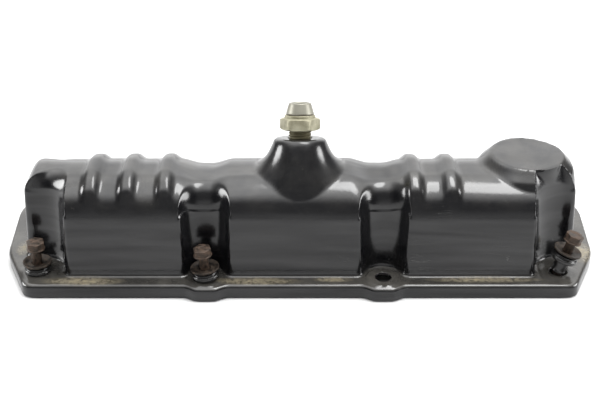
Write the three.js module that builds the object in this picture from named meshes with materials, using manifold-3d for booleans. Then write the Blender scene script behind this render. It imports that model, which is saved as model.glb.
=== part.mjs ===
// A pressed-steel rocker cover for one bank of a small three-cylinder-per-side engine: a sheet shell with
// three lobes, a breather tower with a screwed union, a blank filler boss, a moulded gasket, an oil baffle,
// and seven captive bolts, each with its cup washer, rubber grommet and spacer sleeve.
// X runs along the cover, -Y is its front, Z is up. The origin is the middle of the face it rests on.
import * as THREE from "three";
import { mergeVertices } from "three/addons/utils/BufferGeometryUtils.js";
import Module from "manifold-3d";

const wasm = await Module();
wasm.setup();

// ---- driving dimensions, millimetres and degrees ----
const SHEET = 1.5; // steel sheet
const GAP = 0.3; // clearance between touching pieces
const FLANGE_TOP = 9; // top face of the flange above the standing face
const SKIRT_BOTTOM = 0.8; // lower edge of the flange's turned-down skirt
const CROWN = 57; // crown of the dome above the flange
const WALL_Y = 41.5; // long walls of the dome, at the flange
const END_X = 172; // end walls of the dome, at the flange
const SHOULDER = { front: 24, back: 44, end: 13 }; // radii between the walls and the crown
const DRAFT = THREE.MathUtils.degToRad(3.5);
const POLE_X = 140; // where the crown's lines meet at each end
const RIM = [
  // flange outline of the right end, from the front edge to the back edge: x, y, corner radius
  [167.4, -52, 9],
  [186, -12, 12],
  [190, 40, 10],
  [188, 52, 13],
];
const RIM_Y = 52;
const RIM_BULGE = { depth: 4, halfWidth: 14 };
const MID_BOLT = { front: [-57.2, 50.8], back: [-57.2, 50.8], y: 43, niche: 13 };
const CORNER_BOLT = { x: 161.3, y: 35.5, niche: 17 };
const FILLET = 5; // vertical edges of the niches
const NICHE_SHOULDER = 12; // most that the crown is rounded down to a niche's wall
const HOLE_RADIUS = 5;
const VALLEYS = [
  // shallow valleys that carry each pair of niches over the crown: x at the front, x at the middle
  { front: -57.2, middle: -60.3, depth: 3.4, halfWidth: 15 },
  { front: 50.8, middle: 45.5, depth: 3.4, halfWidth: 15 },
];
const RIBS = { x: [-126, -104, -81.5, 69, 91], halfWidth: 7, height: 3.4, endY: 38 };
const BOSS = { x: 140.4, y: 1, top: 63, topRadius: 22.4, footRadius: 28.5 };
const TOWER = {
  // its radius grows downwards by waist, and by flare with the fourth power
  y: -5,
  top: 74,
  tilt: THREE.MathUtils.degToRad(18),
  topRadius: 15.5,
  waist: 7.5,
  flare: 5,
};
const UNION = { threadRadius: 7.1, thread: 5, hexAcross: 22, hex: 7.2, collar: 1.9, nose: 7, bore: 5 };
const BOLT = { shankRadius: 3, length: 25, hexAcross: 10, headHeight: 4.2, flangeRadius: 5.6, flange: 1.4 };
const WASHER = { radius: 8.8, plateRadius: 5.9, bore: 3.4, thickness: 1.1, dish: 1.3 };
const GROMMET = { radius: 8.3, height: 4.8, neckRadius: 4.7, neck: 8.3, bore: 3.95 };
const SLEEVE = { radius: 3.7, bore: 3.25 };
const GASKET = { width: 3.2, height: 7.2 };
const BAFFLE = { halfLength: 22.5, ear: 5, halfWidth: 10, y: -7, thickness: 1, drop: 9, below: 1.1 };

// ---- materials ----
const material = (color, roughness, metalness) =>
  new THREE.MeshStandardMaterial({ color, roughness, metalness });
const blackPaint = material(0x17171a, 0.25, 0.1);
const rubber = material(0x101010, 0.55, 0);
const gasketRubber = material(0x1d1c1b, 0.8, 0);
const rustySteel = material(0x6b5f55, 0.7, 0.6);
const bareSteel = material(0x9a9a96, 0.45, 0.9);
const zincPlate = material(0xc8c6ae, 0.35, 0.9);
const paleBrass = material(0xd8d6c4, 0.3, 0.9);

// ---- solids ----
// A closed geometry as a manifold-3d solid.
function solid(geometry) {
  const bare = geometry.clone();
  bare.deleteAttribute("normal");
  bare.deleteAttribute("uv");
  const merged = mergeVertices(bare, 1e-3);
  return new wasm.Manifold(
    new wasm.Mesh({
      numProp: 3,
      vertProperties: new Float32Array(merged.attributes.position.array),
      triVerts: new Uint32Array(merged.index.array),
    }),
  );
}

// A manifold-3d solid back as a geometry.
function geometryOf(made) {
  const mesh = made.getMesh();
  const geometry = new THREE.BufferGeometry();
  const positions = new Float32Array(mesh.numVert * 3);
  for (let i = 0; i < mesh.numVert; i++) {
    positions.set(mesh.vertProperties.subarray(i * mesh.numProp, i * mesh.numProp + 3), i * 3);
  }
  geometry.setAttribute("position", new THREE.BufferAttribute(positions, 3));
  geometry.setIndex(new THREE.BufferAttribute(mesh.triVerts, 1));
  geometry.computeVertexNormals();
  return geometry;
}

// A profile of [radius, z] points turned about Z. A closed profile repeats its first point at the end.
function lathe(profile, sides) {
  const points = profile.map(([radius, z]) => new THREE.Vector2(radius, z));
  const geometry = new THREE.LatheGeometry(points, sides);
  return geometry.rotateX(Math.PI / 2);
}

// A plug turned about Z from its outer points, closed on the axis at both ends, from the bottom up.
function plug(profile, sides) {
  const first = profile[0];
  const last = profile[profile.length - 1];
  return lathe([[0, first[1]], ...profile, [0, last[1]]], sides);
}

function ring(profile, sides) {
  return lathe([...profile, profile[0]], sides);
}

// A closed skin from rings of points that all have the same count, capped by its first and last ring.
function loft(rings) {
  const count = rings[0].length;
  const positions = rings.flat().flatMap((p) => [p.x, p.y, p.z]);
  const middle = (points) => {
    const centre = points.reduce((sum, p) => sum.add(p), new THREE.Vector3());
    return centre.divideScalar(points.length);
  };
  const caps = [middle(rings[0]), middle(rings[rings.length - 1])];
  positions.push(...caps.flatMap((p) => [p.x, p.y, p.z]));
  const bottomCap = rings.length * count;
  const index = [];
  for (let i = 0; i < count; i++) {
    const next = (i + 1) % count;
    for (let level = 0; level + 1 < rings.length; level++) {
      const a = level * count + i;
      const b = level * count + next;
      index.push(a, b, b + count, a, b + count, a + count);
    }
    const top = (rings.length - 1) * count;
    index.push(bottomCap, next, i, bottomCap + 1, top + i, top + next);
  }
  const geometry = new THREE.BufferGeometry();
  geometry.setAttribute("position", new THREE.Float32BufferAttribute(positions, 3));
  geometry.setIndex(index);
  return geometry;
}

// ---- outlines in plan ----
const angleTo = (from, to) => Math.atan2(to[1] - from[1], to[0] - from[0]);

// A concave notch of a circle between two fillets whose centres are before and after.
function notch(path, centre, radius, fillet, before, after, startAngle, endAngle) {
  path.absarc(before[0], before[1], fillet, startAngle, angleTo(before, centre), false);
  path.absarc(centre[0], centre[1], radius, angleTo(centre, before), angleTo(centre, after), true);
  path.absarc(after[0], after[1], fillet, angleTo(after, centre), endAngle, false);
}

// The front wall's outline from the left pole to the right one, with a niche round each middle bolt.
function longWall(boltXs, inset, count) {
  const y = -(WALL_Y - inset);
  const fillet = FILLET - inset;
  const radius = MID_BOLT.niche + inset;
  const reach = Math.sqrt((radius + fillet) ** 2 - (-MID_BOLT.y - y - fillet) ** 2);
  const path = new THREE.Path().moveTo(-POLE_X, y);
  for (const x of boltXs) {
    path.lineTo(x - reach, y);
    const before = [x - reach, y + fillet];
    const after = [x + reach, y + fillet];
    notch(path, [x, -MID_BOLT.y], radius, fillet, before, after, -Math.PI / 2, -Math.PI / 2);
  }
  path.lineTo(POLE_X, y);
  return path.getSpacedPoints(count);
}

// The right end's outline from front to back, with a niche round each corner bolt.
function endWall(inset, count) {
  const y = -(WALL_Y - inset);
  const x = END_X - inset;
  const fillet = FILLET - inset;
  const radius = CORNER_BOLT.niche + inset;
  const centre = [CORNER_BOLT.x, -CORNER_BOLT.y];
  const reach = radius + fillet;
  const before = [centre[0] - Math.sqrt(reach ** 2 - (centre[1] - y - fillet) ** 2), y + fillet];
  const after = [x - fillet, centre[1] + Math.sqrt(reach ** 2 - (x - fillet - centre[0]) ** 2)];
  const half = new THREE.Path().moveTo(Math.min(POLE_X, before[0] - 0.1), y);
  half.lineTo(before[0], y);
  notch(half, centre, radius, fillet, before, after, -Math.PI / 2, 0);
  half.lineTo(x, 0);
  const front = half.getSpacedPoints(count / 2);
  const back = front.slice(0, -1).map((p) => new THREE.Vector2(p.x, -p.y));
  return [...front, ...back.reverse()];
}

// The flange rim at the right end as a dense outline from the front to the back.
function rimEnd(inset) {
  const path = new THREE.Path().moveTo(POLE_X - 20, -RIM_Y);
  const corners = RIM.map(([x, y]) => new THREE.Vector2(x, y));
  corners.forEach((corner, i) => {
    const last = i === 0 ? new THREE.Vector2(POLE_X - 20, -RIM_Y) : corners[i - 1];
    const next = i + 1 < corners.length ? corners[i + 1] : new THREE.Vector2(POLE_X - 20, RIM_Y);
    const cut = RIM[i][2] * 0.6;
    const towards = (to) => corner.clone().add(to.clone().sub(corner).setLength(cut));
    const start = towards(last);
    const end = towards(next);
    path.lineTo(start.x, start.y);
    path.quadraticCurveTo(corner.x, corner.y, end.x, end.y);
  });
  path.lineTo(POLE_X - 20, RIM_Y);
  const outline = path.getSpacedPoints(160);
  return offset(outline, -inset);
}

// An open outline moved sideways, to its right for a positive distance.
function offset(outline, distance) {
  return outline.map((p, i) => {
    const back = outline[Math.max(i - 1, 0)];
    const ahead = outline[Math.min(i + 1, outline.length - 1)];
    const along = ahead.clone().sub(back).normalize();
    return new THREE.Vector2(p.x + along.y * distance, p.y - along.x * distance);
  });
}

const smoothstep = (t) => {
  const c = THREE.MathUtils.clamp(t, 0, 1);
  return c * c * (3 - 2 * c);
};

// The rim's y on a long side: straight, with a bulge round each middle bolt.
function rimY(x, boltXs, inset) {
  const nearest = Math.min(...boltXs.map((bolt) => Math.abs(x - bolt)));
  const bulge = smoothstep(1.5 * (1 - nearest / RIM_BULGE.halfWidth));
  return -(RIM_Y - inset + RIM_BULGE.depth * bulge);
}

// The rim at the right end in the direction of a point of the end wall, seen from the pole.
function rimToward(point, dense) {
  const pole = [POLE_X, 0];
  const wanted = angleTo(pole, [point.x, point.y]);
  const angles = dense.map((p) => angleTo(pole, [p.x, p.y]));
  const after = Math.max(1, angles.findIndex((a) => a >= wanted));
  const t = (wanted - angles[after - 1]) / (angles[after] - angles[after - 1]);
  return dense[after - 1].clone().lerp(dense[after], t);
}

// The whole plan, counter-clockwise from the left pole's front: for each point of the dome's foot its
// inward normal, the point of the rim outside it, and the point of the spine it runs to.
function plan(inset, longCount, endCount) {
  const front = longWall(MID_BOLT.front, inset, longCount);
  const back = longWall(MID_BOLT.back, inset, longCount).map((p) => new THREE.Vector2(p.x, -p.y));
  const end = endWall(inset, endCount);
  const dense = rimEnd(inset);
  const points = [];
  front.forEach((p, i) => {
    const spine = new THREE.Vector2((p.x + back[i].x) / 2, 0);
    points.push({ foot: p, rim: new THREE.Vector2(p.x, rimY(p.x, MID_BOLT.front, inset)), spine });
  });
  const pole = new THREE.Vector2(POLE_X, 0);
  const ends = end.slice(1, -1).map((p) => ({ foot: p, rim: rimToward(p, dense), spine: pole }));
  points.push(...ends);
  back
    .map((p, i) => ({
      foot: p,
      rim: new THREE.Vector2(p.x, -rimY(p.x, MID_BOLT.back, inset)),
      spine: points[i].spine,
    }))
    .reverse()
    .forEach((p) => points.push(p));
  const mirror = (p) => new THREE.Vector2(-p.x, p.y);
  ends
    .map(({ foot, rim, spine }) => ({ foot: mirror(foot), rim: mirror(rim), spine: mirror(spine) }))
    .reverse()
    .forEach((p) => points.push(p));
  points.forEach((p, i) => {
    const ahead = points[(i + 1) % points.length].foot;
    const behind = points[(i + points.length - 1) % points.length].foot;
    const along = ahead.clone().sub(behind).normalize();
    p.inward = new THREE.Vector2(-along.y, along.x);
  });
  return points;
}

// ---- the dome's height above the flange ----
const smoothMin = (a, b, k) => {
  const h = Math.max(k - Math.abs(a - b), 0) / k;
  return Math.min(a, b) - (h * h * k) / 4;
};

// Height over the distance in from one wall: the drafted wall, then the shoulder's arc, then the crown.
function wallProfile(distance, shoulder) {
  const centre = shoulder / Math.cos(DRAFT) + (CROWN - shoulder) * Math.tan(DRAFT);
  if (distance >= centre) return CROWN;
  if (distance <= centre - shoulder * Math.cos(DRAFT)) return distance / Math.tan(DRAFT);
  return CROWN - shoulder + Math.sqrt(shoulder ** 2 - (centre - distance) ** 2);
}

// The crown with its shoulders, valleys and ribs at a point of the plan, filled out under the blank boss.
function crownHeight(x, y, inset) {
  const fromFront = wallProfile(WALL_Y - inset + y, SHOULDER.front);
  const fromBack = wallProfile(WALL_Y - inset - y, SHOULDER.back);
  const sideDrop = 2 * CROWN - fromFront - fromBack;
  const endDrop = CROWN - wallProfile(END_X - inset - Math.abs(x), SHOULDER.end);
  let height = CROWN - Math.hypot(sideDrop, endDrop);
  for (const valley of VALLEYS) {
    const line = valley.middle + ((valley.front - valley.middle) * Math.abs(y)) / MID_BOLT.y;
    height -= valley.depth * smoothstep(1.2 - Math.abs(x - line) / valley.halfWidth);
  }
  for (const rib of RIBS.x) {
    const across = smoothstep((1 - Math.abs(x - rib) / RIBS.halfWidth) * 1.6);
    const along = smoothstep((RIBS.endY - Math.abs(y)) / 8);
    height += RIBS.height * across * along;
  }
  const beyondBoss = Math.max(0, Math.hypot(x - BOSS.x, y - BOSS.y) - BOSS.footRadius + inset);
  return Math.max(height, CROWN - 0.6 * beyondBoss ** 2);
}

// Points evenly spaced by length along a polyline.
function respace(points, count) {
  const lengths = [0];
  for (let i = 1; i < points.length; i++) lengths.push(lengths[i - 1] + points[i].distanceTo(points[i - 1]));
  const total = lengths[lengths.length - 1];
  const out = [];
  let at = 1;
  for (let i = 0; i < count; i++) {
    const wanted = (total * i) / (count - 1);
    while (at + 1 < points.length && lengths[at] < wanted) at++;
    const t = (wanted - lengths[at - 1]) / (lengths[at] - lengths[at - 1]);
    out.push(points[at - 1].clone().lerp(points[at], THREE.MathUtils.clamp(t, 0, 1)));
  }
  return out;
}

// How much the crown is rounded off at a distance from a niche's wall. Outside the niches the radius is nil.
function nicheDrop(foot, distance, inset) {
  const depth = Math.min(WALL_Y - inset - Math.abs(foot.y), END_X - inset - Math.abs(foot.x));
  const radius = THREE.MathUtils.clamp(depth, 0, NICHE_SHOULDER);
  const left = THREE.MathUtils.clamp(radius + CROWN * Math.tan(DRAFT) - distance, 0, radius);
  return radius - Math.sqrt(radius ** 2 - left ** 2);
}

// One line of the cover's skin from the skirt's edge over the flange and up to the spine.
function skinLine({ foot, rim, spine, inward }, inset, bottom, crownCount) {
  const top = FLANGE_TOP - inset;
  const edge = 2.2 - inset;
  const outward = rim.clone().sub(foot).normalize();
  const at = (p, z) => new THREE.Vector3(p.x, p.y, z);
  const line = [
    at(rim, bottom),
    at(rim, top - edge),
    at(rim.clone().addScaledVector(outward, -0.3 * edge), top - 0.3 * edge),
    at(rim.clone().addScaledVector(outward, -edge), top),
    at(foot.clone().addScaledVector(outward, 1.8), top),
  ];
  const rise = [];
  const steps = 240;
  const straight = 3.5;
  const turn = foot.clone().addScaledVector(inward, straight);
  for (let i = 0; i <= steps; i++) {
    const s = i / steps;
    const p = s < 0.35 ? foot.clone().lerp(turn, s / 0.35) : turn.clone().lerp(spine, (s - 0.35) / 0.65);
    const wall = s < 0.35 ? ((s / 0.35) * straight) / Math.tan(DRAFT) : 1e3;
    const crown = crownHeight(p.x, p.y, inset) - nicheDrop(foot, p.distanceTo(foot), inset);
    const height = smoothMin(wall, crown, 3);
    rise.push(at(p, top + Math.max(height, 0.6)));
  }
  return [...line, ...respace(rise, crownCount)];
}

// The cover's skin closed underneath, inset by the given thickness.
function coverSolid(inset, bottom, longCount, endCount, crownCount) {
  const lines = plan(inset, longCount, endCount).map((p) => skinLine(p, inset, bottom, crownCount));
  const rings = lines[0].map((_, level) => lines.map((line) => line[level]));
  return solid(loft(rings));
}

// ---- breather tower ----
const towerAxis = new THREE.Vector3(0, Math.sin(TOWER.tilt), Math.cos(TOWER.tilt));
const towerTop = new THREE.Vector3(0, TOWER.y, FLANGE_TOP + CROWN).addScaledVector(
  towerAxis,
  (TOWER.top - CROWN) / Math.cos(TOWER.tilt),
);

// The tower as rings that lean back and narrow from a flared foot, which follows the crown it stands on.
// It is inset by the given thickness, and its foot is sunk a little, so that it joins the crown.
function towerSolid(inset, sides) {
  const sink = 1.2;
  const edge = 1.6;
  const foot = new THREE.Vector3(0, TOWER.y, FLANGE_TOP + CROWN - sink - inset);
  const ringAt = (height, radius) => {
    const tilt = TOWER.tilt * THREE.MathUtils.clamp(height * 1.3, 0, 1);
    const centre = foot.clone().lerp(towerTop.clone().addScaledVector(towerAxis, -inset), height);
    const points = [];
    for (let i = 0; i < sides; i++) {
      const a = (2 * Math.PI * i) / sides;
      const p = new THREE.Vector3(radius * Math.cos(a), radius * Math.sin(a), 0);
      p.applyAxisAngle(new THREE.Vector3(-1, 0, 0), tilt).add(centre);
      p.z -= (CROWN - crownHeight(p.x, p.y, inset)) * Math.min(1, 1 - height) ** 2;
      points.push(p);
    }
    return points;
  };
  const radiusAt = (t) => TOWER.topRadius - inset + TOWER.waist * (1 - t) + TOWER.flare * (1 - t) ** 4;
  const rings = [ringAt(inset ? -0.6 : -0.03, radiusAt(0))];
  for (const t of [0, 0.06, 0.16, 0.32, 0.55, 0.8, 0.93]) rings.push(ringAt(t, radiusAt(t)));
  rings.push(ringAt(1, TOWER.topRadius - edge - inset));
  return solid(loft(rings));
}

// ---- blank filler boss, trimmed to the dome's outline where a niche comes close to it ----
function bossSolid(inset, sides) {
  const { top, topRadius, footRadius } = BOSS;
  const profile = [
    [footRadius + 1 - inset, CROWN - (inset ? 9 : 6)],
    [footRadius - inset, CROWN + 0.3 - inset],
    [footRadius - 2.2 - inset, CROWN + 1 - inset],
    [topRadius + 1.6 - inset, top - 2.4 - inset],
    [topRadius + 0.6 - inset, top - 0.6 - inset],
    [topRadius - 0.6 - inset, top - inset],
  ];
  const turned = plug(profile, sides).translate(BOSS.x, BOSS.y, FLANGE_TOP);
  const draft = 1;
  const outline = new THREE.Shape(plan(inset + draft, 40, 32).map((p) => p.foot));
  const prism = new THREE.ExtrudeGeometry(outline, { depth: 2 * top, bevelEnabled: false });
  return solid(turned).intersect(solid(prism));
}

// ---- fasteners: where each stands, how it leans (degrees), how far its grommet and its head stand up ----
const SEATED = { lean: 0, grommetUp: GAP, headUp: 16.2 };
const boltPlaces = [
  { ...SEATED, name: "front_left", x: -CORNER_BOLT.x, y: -CORNER_BOLT.y, lean: 1 },
  { ...SEATED, name: "front_mid_left", x: MID_BOLT.front[0], y: -MID_BOLT.y, lean: -5, grommetUp: 1.1 },
  { name: "front_right", x: 157.9, y: -37.2, lean: 17, grommetUp: 10.2, headUp: 23.5 },
  { ...SEATED, name: "back_left", x: -CORNER_BOLT.x, y: CORNER_BOLT.y },
  { ...SEATED, name: "back_mid_left", x: MID_BOLT.back[0], y: MID_BOLT.y },
  { ...SEATED, name: "back_mid_right", x: MID_BOLT.back[1], y: MID_BOLT.y },
  { ...SEATED, name: "back_right", x: CORNER_BOLT.x, y: CORNER_BOLT.y },
];
const holes = [...boltPlaces.filter(({ lean }) => lean < 17), { x: 158.5, y: -36.5 }];
holes.push({ x: MID_BOLT.front[1], y: -MID_BOLT.y }); // this one has lost its bolt

function holeCutter({ x, y }) {
  const cutter = plug([[HOLE_RADIUS, FLANGE_TOP - 4], [HOLE_RADIUS, FLANGE_TOP + 3]], 16);
  return solid(cutter.translate(x, y, 0));
}

// Turns a piece made along Z at the origin so that it stands on the tower's axis, at a height above its top.
function ontoTower(geometry, height) {
  geometry.rotateX(-TOWER.tilt);
  const place = towerTop.clone().addScaledVector(towerAxis, height);
  return geometry.translate(place.x, place.y, place.z);
}

// ---- the cover and what is fixed to it ----
function coverShell() {
  const outside = coverSolid(0, SKIRT_BOTTOM, 40, 16, 12).add(bossSolid(0, 28)).add(towerSolid(0, 24));
  const inside = coverSolid(SHEET, SKIRT_BOTTOM - 2, 40, 16, 9)
    .add(bossSolid(SHEET, 28))
    .add(towerSolid(SHEET, 24));
  const bore = ontoTower(plug([[7.6, -6], [7.6, 4]], 20), 0);
  let shell = outside.subtract(inside).subtract(solid(bore));
  for (const place of holes) shell = shell.subtract(holeCutter(place));
  return geometryOf(shell);
}

// The gasket: a moulded strip that follows the rim just inside the skirt.
function gasket() {
  const outer = plan(SHEET + GAP + 1, 36, 16).map((p) => p.rim);
  const shape = new THREE.Shape(outer);
  const count = outer.length;
  const inner = outer.map((p, i) => {
    const along = outer[(i + 1) % count].clone().sub(outer[(i + count - 1) % count]).normalize();
    return new THREE.Vector2(p.x - along.y * GASKET.width, p.y + along.x * GASKET.width);
  });
  shape.holes.push(new THREE.Path(inner.reverse()));
  return new THREE.ExtrudeGeometry(shape, { depth: GASKET.height, bevelEnabled: false });
}

// The oil baffle under the tower: a top-hat plate hung from the underside of the crown.
function baffle() {
  const { halfLength, ear, halfWidth, y, thickness, drop, below } = BAFFLE;
  const outline = [
    [-halfLength - ear, 0],
    [-halfLength, 0],
    [-halfLength + 2, -drop],
    [halfLength - 2, -drop],
    [halfLength, 0],
    [halfLength + ear, 0],
  ];
  const lower = outline.map(([x, z]) => new THREE.Vector2(x, z - thickness)).reverse();
  const upper = outline.map(([x, z]) => new THREE.Vector2(x, z));
  const shape = new THREE.Shape([...upper, ...lower]);
  const plate = new THREE.ExtrudeGeometry(shape, { depth: 2 * halfWidth, bevelEnabled: false });
  plate.rotateX(Math.PI / 2);
  return plate.translate(0, halfWidth + y, FLANGE_TOP + CROWN - SHEET - GAP - below);
}

// ---- the breather union, along Z from the tower's top face ----
function unionBody() {
  const { threadRadius, thread, hexAcross, hex, collar, bore } = UNION;
  const root = threadRadius - 0.7;
  const hexLow = thread;
  const hexHigh = thread + hex;
  const profile = [[bore, -5], [root, -5]];
  for (let z = 0.2; z < thread - 1; z += 1.5) profile.push([root, z], [threadRadius, z + 0.75]);
  profile.push([root, thread + 0.5], [9.4, thread + 0.5], [9.4, hexHigh + collar], [bore, hexHigh + collar]);
  const spindle = solid(ring(profile, 20));
  const chamfered = solid(
    ring(
      [
        [bore, hexLow],
        [hexAcross / 2 - 0.4, hexLow],
        [hexAcross / 2 + 1.9, hexLow + 1],
        [hexAcross / 2 + 1.9, hexHigh - 1],
        [hexAcross / 2 - 0.4, hexHigh],
        [bore, hexHigh],
      ],
      20,
    ),
  );
  const flats = new THREE.CylinderGeometry(hexAcross / Math.sqrt(3), hexAcross / Math.sqrt(3), hex + 1, 6);
  flats.rotateX(Math.PI / 2).rotateZ(THREE.MathUtils.degToRad(2.5)).translate(0, 0, thread + hex / 2);
  const made = spindle.add(chamfered.intersect(solid(flats)));
  return ontoTower(geometryOf(made), 0);
}

function unionNose() {
  const base = UNION.thread + UNION.hex + UNION.collar + GAP;
  const profile = [
    [UNION.bore, base],
    [8.5, base],
    [8.5, base + 1],
    [6.8, base + UNION.nose - 0.6],
    [6.3, base + UNION.nose],
    [UNION.bore, base + UNION.nose],
  ];
  return ontoTower(ring(profile, 20), 0);
}

// A threaded bush welded under the tower's top.
function weldBush() {
  const high = -SHEET - GAP;
  return ontoTower(ring([[7.5, high - 5], [11, high - 5], [11, high], [7.5, high]], 20), 0);
}

// ---- one bolt with its washer, grommet and sleeve, along Z with the flange's top at z = 0 ----
function bolt(head) {
  const { shankRadius, length, hexAcross, headHeight, flangeRadius, flange } = BOLT;
  const turned = plug(
    [
      [shankRadius - 0.6, head - length],
      [shankRadius, head - length + 0.8],
      [shankRadius, head],
      [flangeRadius, head],
      [flangeRadius, head + 0.6],
      [flangeRadius - 0.7, head + flange],
    ],
    12,
  );
  const corner = hexAcross / Math.sqrt(3);
  const hex = new THREE.CylinderGeometry(corner - 0.4, corner, headHeight, 6);
  hex.rotateX(Math.PI / 2).translate(0, 0, head + flange - 0.3 + headHeight / 2);
  return geometryOf(solid(turned).add(solid(hex)));
}

// A dished washer whose rim stands above its flat middle.
function cupWasher(base) {
  const { radius, plateRadius, bore, thickness, dish } = WASHER;
  return ring(
    [
      [bore, base],
      [plateRadius, base],
      [radius, base + dish],
      [radius, base + dish + thickness],
      [plateRadius, base + thickness],
      [bore, base + thickness],
    ],
    16,
  );
}

// A rubber grommet: a disc that sits on the flange and a neck that reaches down through the hole.
function grommet(base) {
  const { radius, height, neckRadius, neck, bore } = GROMMET;
  const top = base + height;
  return ring(
    [
      [bore, base - neck],
      [neckRadius, base - neck],
      [neckRadius, base],
      [radius - 0.5, base],
      [radius, base + 1],
      [radius, top - 0.8],
      [radius - 0.8, top],
      [bore, top],
    ],
    16,
  );
}

// The spacer sleeve inside a grommet, just shorter than it.
function sleeve(base) {
  const { radius, bore } = SLEEVE;
  const low = base - GROMMET.neck + 0.8;
  const high = base + GROMMET.height;
  return ring([[bore, low], [radius, low], [radius, high], [bore, high]], 12);
}

// ---- assembly ----
const cover = new THREE.Group();

function addMesh(parent, name, geometry, finish) {
  const mesh = new THREE.Mesh(geometry, finish);
  mesh.name = name;
  parent.add(mesh);
}

addMesh(cover, "cover_shell", coverShell(), blackPaint);
addMesh(cover, "gasket", gasket(), gasketRubber);
addMesh(cover, "oil_baffle", baffle(), bareSteel);
addMesh(cover, "weld_bush", weldBush(), bareSteel);
addMesh(cover, "union_body", unionBody(), zincPlate);
addMesh(cover, "union_nose", unionNose(), paleBrass);

for (const { name, x, y, lean, grommetUp, headUp } of boltPlaces) {
  const stack = new THREE.Group();
  addMesh(stack, "bolt_" + name, bolt(headUp), rustySteel);
  addMesh(stack, "cup_washer_" + name, cupWasher(grommetUp + GROMMET.height + GAP), rustySteel);
  addMesh(stack, "grommet_" + name, grommet(grommetUp), rubber);
  addMesh(stack, "sleeve_" + name, sleeve(grommetUp), bareSteel);
  stack.position.set(x, y, FLANGE_TOP);
  stack.rotation.y = THREE.MathUtils.degToRad(lean);
  cover.add(stack);
}

export default cover;
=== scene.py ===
"""Looks of a pressed-steel rocker cover: a stove-enamelled shell with a breather union, its gasket, and its
captive bolts with dished washers, rubber grommets and spacer sleeves. Lengths below are in millimetres;
meshes are made in metres, in the frame of the CAD model."""
import bpy
import bmesh
import math
import numpy as np
from mathutils import Matrix, Vector

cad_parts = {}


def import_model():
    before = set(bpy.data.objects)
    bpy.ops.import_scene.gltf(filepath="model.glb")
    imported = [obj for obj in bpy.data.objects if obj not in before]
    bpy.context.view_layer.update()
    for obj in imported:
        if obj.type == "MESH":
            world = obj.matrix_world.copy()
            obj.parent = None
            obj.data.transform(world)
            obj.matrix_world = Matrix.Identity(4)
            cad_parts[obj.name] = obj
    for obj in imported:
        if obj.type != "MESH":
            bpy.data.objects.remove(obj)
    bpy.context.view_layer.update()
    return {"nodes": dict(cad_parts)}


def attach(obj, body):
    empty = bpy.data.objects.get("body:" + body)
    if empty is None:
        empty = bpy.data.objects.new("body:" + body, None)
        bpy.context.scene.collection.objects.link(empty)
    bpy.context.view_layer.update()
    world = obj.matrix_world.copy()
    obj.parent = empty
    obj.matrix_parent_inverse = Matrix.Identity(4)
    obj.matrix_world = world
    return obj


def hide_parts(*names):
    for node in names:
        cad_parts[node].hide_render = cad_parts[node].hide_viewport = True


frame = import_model()

MM = 0.001

# ---------------------------------------------------------------- driving dimensions, as in the CAD model
SHEET = 1.5
FLANGE_TOP = 9.0
SKIRT_BOTTOM = 0.8
CROWN = 57.0
WALL_Y = 41.5
END_X = 172.0
FRONT_SHOULDER, BACK_SHOULDER, END_SHOULDER = 24.0, 44.0, 13.0
DRAFT = math.radians(3.5)
DRAFTED = CROWN * math.tan(DRAFT)  # how far the wall leans in from its foot to the crown
POLE_X = 140.0
RIM_Y = 52.0
RIM = [(167.4, -52, 9), (186, -12, 12), (190, 40, 10), (188, 52, 13)]
BULGE_DEPTH, BULGE_HALF = 4.0, 14.0
MID_XS = (-57.2, 50.8)
MID_Y, MID_NICHE = 43.0, 13.0
CORNER_X, CORNER_Y, CORNER_NICHE = 161.3, 35.5, 17.0
FILLET = 5.0
NICHE_SHOULDER = 12.0
HOLE_RADIUS = 5.0
VALLEYS = [(-57.2, -60.3, 3.4, 15.0), (50.8, 45.5, 3.4, 15.0)]
RIB_XS = (-126.0, -104.0, -81.5, 69.0, 91.0)
RIB_HALF, RIB_HEIGHT, RIB_END_Y = 7.0, 3.4, 38.0
BOSS_X, BOSS_Y, BOSS_TOP, BOSS_RADIUS, BOSS_FOOT = 140.4, 1.0, 63.0, 22.4, 28.5
TOWER_Y, TOWER_TOP, TOWER_TILT = -5.0, 74.0, math.radians(18)
TOWER_RADIUS, TOWER_WAIST, TOWER_FLARE = 15.5, 7.5, 5.0
TOWER_FOOT = TOWER_RADIUS + TOWER_WAIST + TOWER_FLARE
HEX_UNION, HEX_BOLT = 22.0, 10.0
GROMMET_TOP = 4.8

# Each fastener: name, x, y, lean towards +X in degrees, grommet and head above the flange.
STACKS = [
    ("front_left", -CORNER_X, -CORNER_Y, 1, 0.3, 16.2),
    ("front_mid_left", MID_XS[0], -MID_Y, -5, 1.1, 16.2),
    ("front_right", 157.9, -37.2, 17, 10.2, 23.5),
    ("back_left", -CORNER_X, CORNER_Y, 0, 0.3, 16.2),
    ("back_mid_left", MID_XS[0], MID_Y, 0, 0.3, 16.2),
    ("back_mid_right", MID_XS[1], MID_Y, 0, 0.3, 16.2),
    ("back_right", CORNER_X, CORNER_Y, 0, 0.3, 16.2),
]
LEANING_HOLE, EMPTY_HOLE = (158.5, -36.5), (MID_XS[1], -MID_Y)
HOLES = [(x, y) for name, x, y, *_ in STACKS if name != "front_right"] + [LEANING_HOLE, EMPTY_HOLE]
LONG_COUNT, END_COUNT = 216, 84  # lines across the sheet along one long wall, and round one end


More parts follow.
